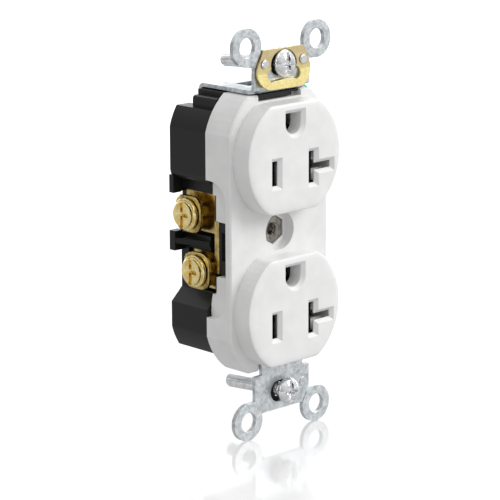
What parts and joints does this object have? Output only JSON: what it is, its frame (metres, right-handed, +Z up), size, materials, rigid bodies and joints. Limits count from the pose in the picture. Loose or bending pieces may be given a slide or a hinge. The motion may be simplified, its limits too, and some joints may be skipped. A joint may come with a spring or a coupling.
{
  "type": "duplex wall outlet",
  "caption": "Duplex wall outlet with T-slot faces, tamper shutters, side screw terminals and a wrap-around steel mounting strap with break-off ears.",
  "frame": {"origin": "middle of the device, in the plane of the mounting ears' backs, where they meet the wall", "axes": "+X to the right seen from the front, +Y into the wall with the faces looking along -Y, +Z up"},
  "size_m": [0.0346, 0.0284, 0.1046],
  "materials": {
    "white_plastic": "satin moulded nylon",
    "black_plastic": "fine-grained moulded plastic",
    "galvanised_steel": "mottled galvanised sheet",
    "brass": "bright stamped and turned brass",
    "zinc_plate": "bright zinc plate",
    "green_screw": "green dyed zinc plate",
    "black_fibre": "pressed black fibre",
    "spring_steel": "drawn spring wire"
  },
  "bodies": {
    "device": {"front_cover": "white_plastic", "rear_body": "black_plastic", "mounting_strap": "galvanised_steel", "self_grounding_clip": "brass", "left_clip_rivet": "zinc_plate", "right_clip_rivet": "zinc_plate", "wall_plate_nut": "zinc_plate", "hot_contact_strip": "brass", "neutral_contact_strip": "brass", "upper_ground_contact": "brass", "upper_ground_contact_rivet": "zinc_plate", "lower_ground_contact": "brass", "lower_ground_contact_rivet": "zinc_plate", "upper_shutter_guide": "white_plastic", "upper_shutter_spring": "spring_steel", "lower_shutter_guide": "white_plastic", "lower_shutter_spring": "spring_steel", "upper_assembly_screw": "zinc_plate", "lower_assembly_screw": "zinc_plate"},
    "hot_upper_pressure_plate": {"hot_upper_pressure_plate": "brass"},
    "hot_upper_terminal_screw": {"hot_upper_terminal_screw": "brass"},
    "hot_lower_pressure_plate": {"hot_lower_pressure_plate": "brass"},
    "hot_lower_terminal_screw": {"hot_lower_terminal_screw": "brass"},
    "neutral_upper_pressure_plate": {"neutral_upper_pressure_plate": "zinc_plate"},
    "neutral_upper_terminal_screw": {"neutral_upper_terminal_screw": "zinc_plate"},
    "neutral_lower_pressure_plate": {"neutral_lower_pressure_plate": "zinc_plate"},
    "neutral_lower_terminal_screw": {"neutral_lower_terminal_screw": "zinc_plate"},
    "ground_clamp_plate": {"ground_clamp_plate": "zinc_plate"},
    "ground_terminal_screw": {"ground_terminal_screw": "green_screw"},
    "upper_screw_retainer": {"upper_screw_retainer": "black_fibre"},
    "upper_mounting_screw": {"upper_mounting_screw": "zinc_plate"},
    "lower_screw_retainer": {"lower_screw_retainer": "black_fibre"},
    "lower_mounting_screw": {"lower_mounting_screw": "zinc_plate"},
    "upper_shutter": {"upper_shutter": "black_plastic"},
    "lower_shutter": {"lower_shutter": "black_plastic"}
  },
  "joints": [
    {"name": "hot_upper_terminal_travel", "type": "slide", "parent": "device", "child": "hot_upper_pressure_plate", "axis": [1, 0, 0], "range_m": [0, 0.00175]},
    {"name": "hot_upper_terminal_turn", "type": "hinge", "parent": "hot_upper_pressure_plate", "child": "hot_upper_terminal_screw", "pos_m": [-0.0155, 0.0174, 0.0039], "axis": [1, 0, 0], "range_deg": [0, 796]},
    {"name": "hot_lower_terminal_travel", "type": "slide", "parent": "device", "child": "hot_lower_pressure_plate", "axis": [1, 0, 0], "range_m": [0, 0.00175]},
    {"name": "hot_lower_terminal_turn", "type": "hinge", "parent": "hot_lower_pressure_plate", "child": "hot_lower_terminal_screw", "pos_m": [-0.0155, 0.0144, -0.0103], "axis": [1, 0, 0], "range_deg": [0, 796]},
    {"name": "neutral_upper_terminal_travel", "type": "slide", "parent": "device", "child": "neutral_upper_pressure_plate", "axis": [-1, 0, 0], "range_m": [0, 0.00175]},
    {"name": "neutral_upper_terminal_turn", "type": "hinge", "parent": "neutral_upper_pressure_plate", "child": "neutral_upper_terminal_screw", "pos_m": [0.0155, 0.0174, 0.0039], "axis": [-1, 0, 0], "range_deg": [0, 796]},
    {"name": "neutral_lower_terminal_travel", "type": "slide", "parent": "device", "child": "neutral_lower_pressure_plate", "axis": [-1, 0, 0], "range_m": [0, 0.00175]},
    {"name": "neutral_lower_terminal_turn", "type": "hinge", "parent": "neutral_lower_pressure_plate", "child": "neutral_lower_terminal_screw", "pos_m": [0.0155, 0.0144, -0.0103], "axis": [-1, 0, 0], "range_deg": [0, 796]},
    {"name": "ground_terminal_travel", "type": "slide", "parent": "device", "child": "ground_clamp_plate", "axis": [-1, 0, 0], "range_m": [-0.00175, 0]},
    {"name": "ground_terminal_turn", "type": "hinge", "parent": "ground_clamp_plate", "child": "ground_terminal_screw", "pos_m": [0.0116, 0.0046, 0.0315], "axis": [-1, 0, 0], "range_deg": [-796, 0]},
    {"name": "upper_mounting_travel", "type": "slide", "parent": "device", "child": "upper_screw_retainer", "axis": [0, 0.9979, -0.0645], "range_m": [0, 0.0003]},
    {"name": "upper_mounting_turn", "type": "hinge", "parent": "upper_screw_retainer", "child": "upper_mounting_screw", "pos_m": [0, -0.0016, 0.04248], "axis": [0, 0.9979, -0.0645], "range_deg": [0, 138]},
    {"name": "lower_mounting_travel", "type": "slide", "parent": "device", "child": "lower_screw_retainer", "axis": [0, 0.9965, -0.0837], "range_m": [0, 0.0015]},
    {"name": "lower_mounting_turn", "type": "hinge", "parent": "lower_screw_retainer", "child": "lower_mounting_screw", "pos_m": [0, -0.0029, -0.04118], "axis": [0, 0.9965, -0.0837], "range_deg": [0, 684]},
    {"name": "upper_shutter_slide", "type": "slide", "parent": "device", "child": "upper_shutter", "axis": [-1, 0, 0], "range_m": [0, 0.0026], "stiffness_N_per_m": 60, "deforming": ["upper_shutter_spring"]},
    {"name": "lower_shutter_slide", "type": "slide", "parent": "device", "child": "lower_shutter", "axis": [-1, 0, 0], "range_m": [0, 0.0026], "stiffness_N_per_m": 60, "deforming": ["lower_shutter_spring"]}
  ],
  "couplings": [
    {"joint": "hot_upper_terminal_turn", "follows": "hot_upper_terminal_travel", "rad_per_m": 7915.8},
    {"joint": "hot_lower_terminal_turn", "follows": "hot_lower_terminal_travel", "rad_per_m": 7915.8},
    {"joint": "neutral_upper_terminal_turn", "follows": "neutral_upper_terminal_travel", "rad_per_m": 7915.8},
    {"joint": "neutral_lower_terminal_turn", "follows": "neutral_lower_terminal_travel", "rad_per_m": 7915.8},
    {"joint": "ground_terminal_turn", "follows": "ground_terminal_travel", "rad_per_m": 7915.8},
    {"joint": "upper_mounting_turn", "follows": "upper_mounting_travel", "rad_per_m": 7915.8},
    {"joint": "lower_mounting_turn", "follows": "lower_mounting_travel", "rad_per_m": 7915.8}
  ]
}
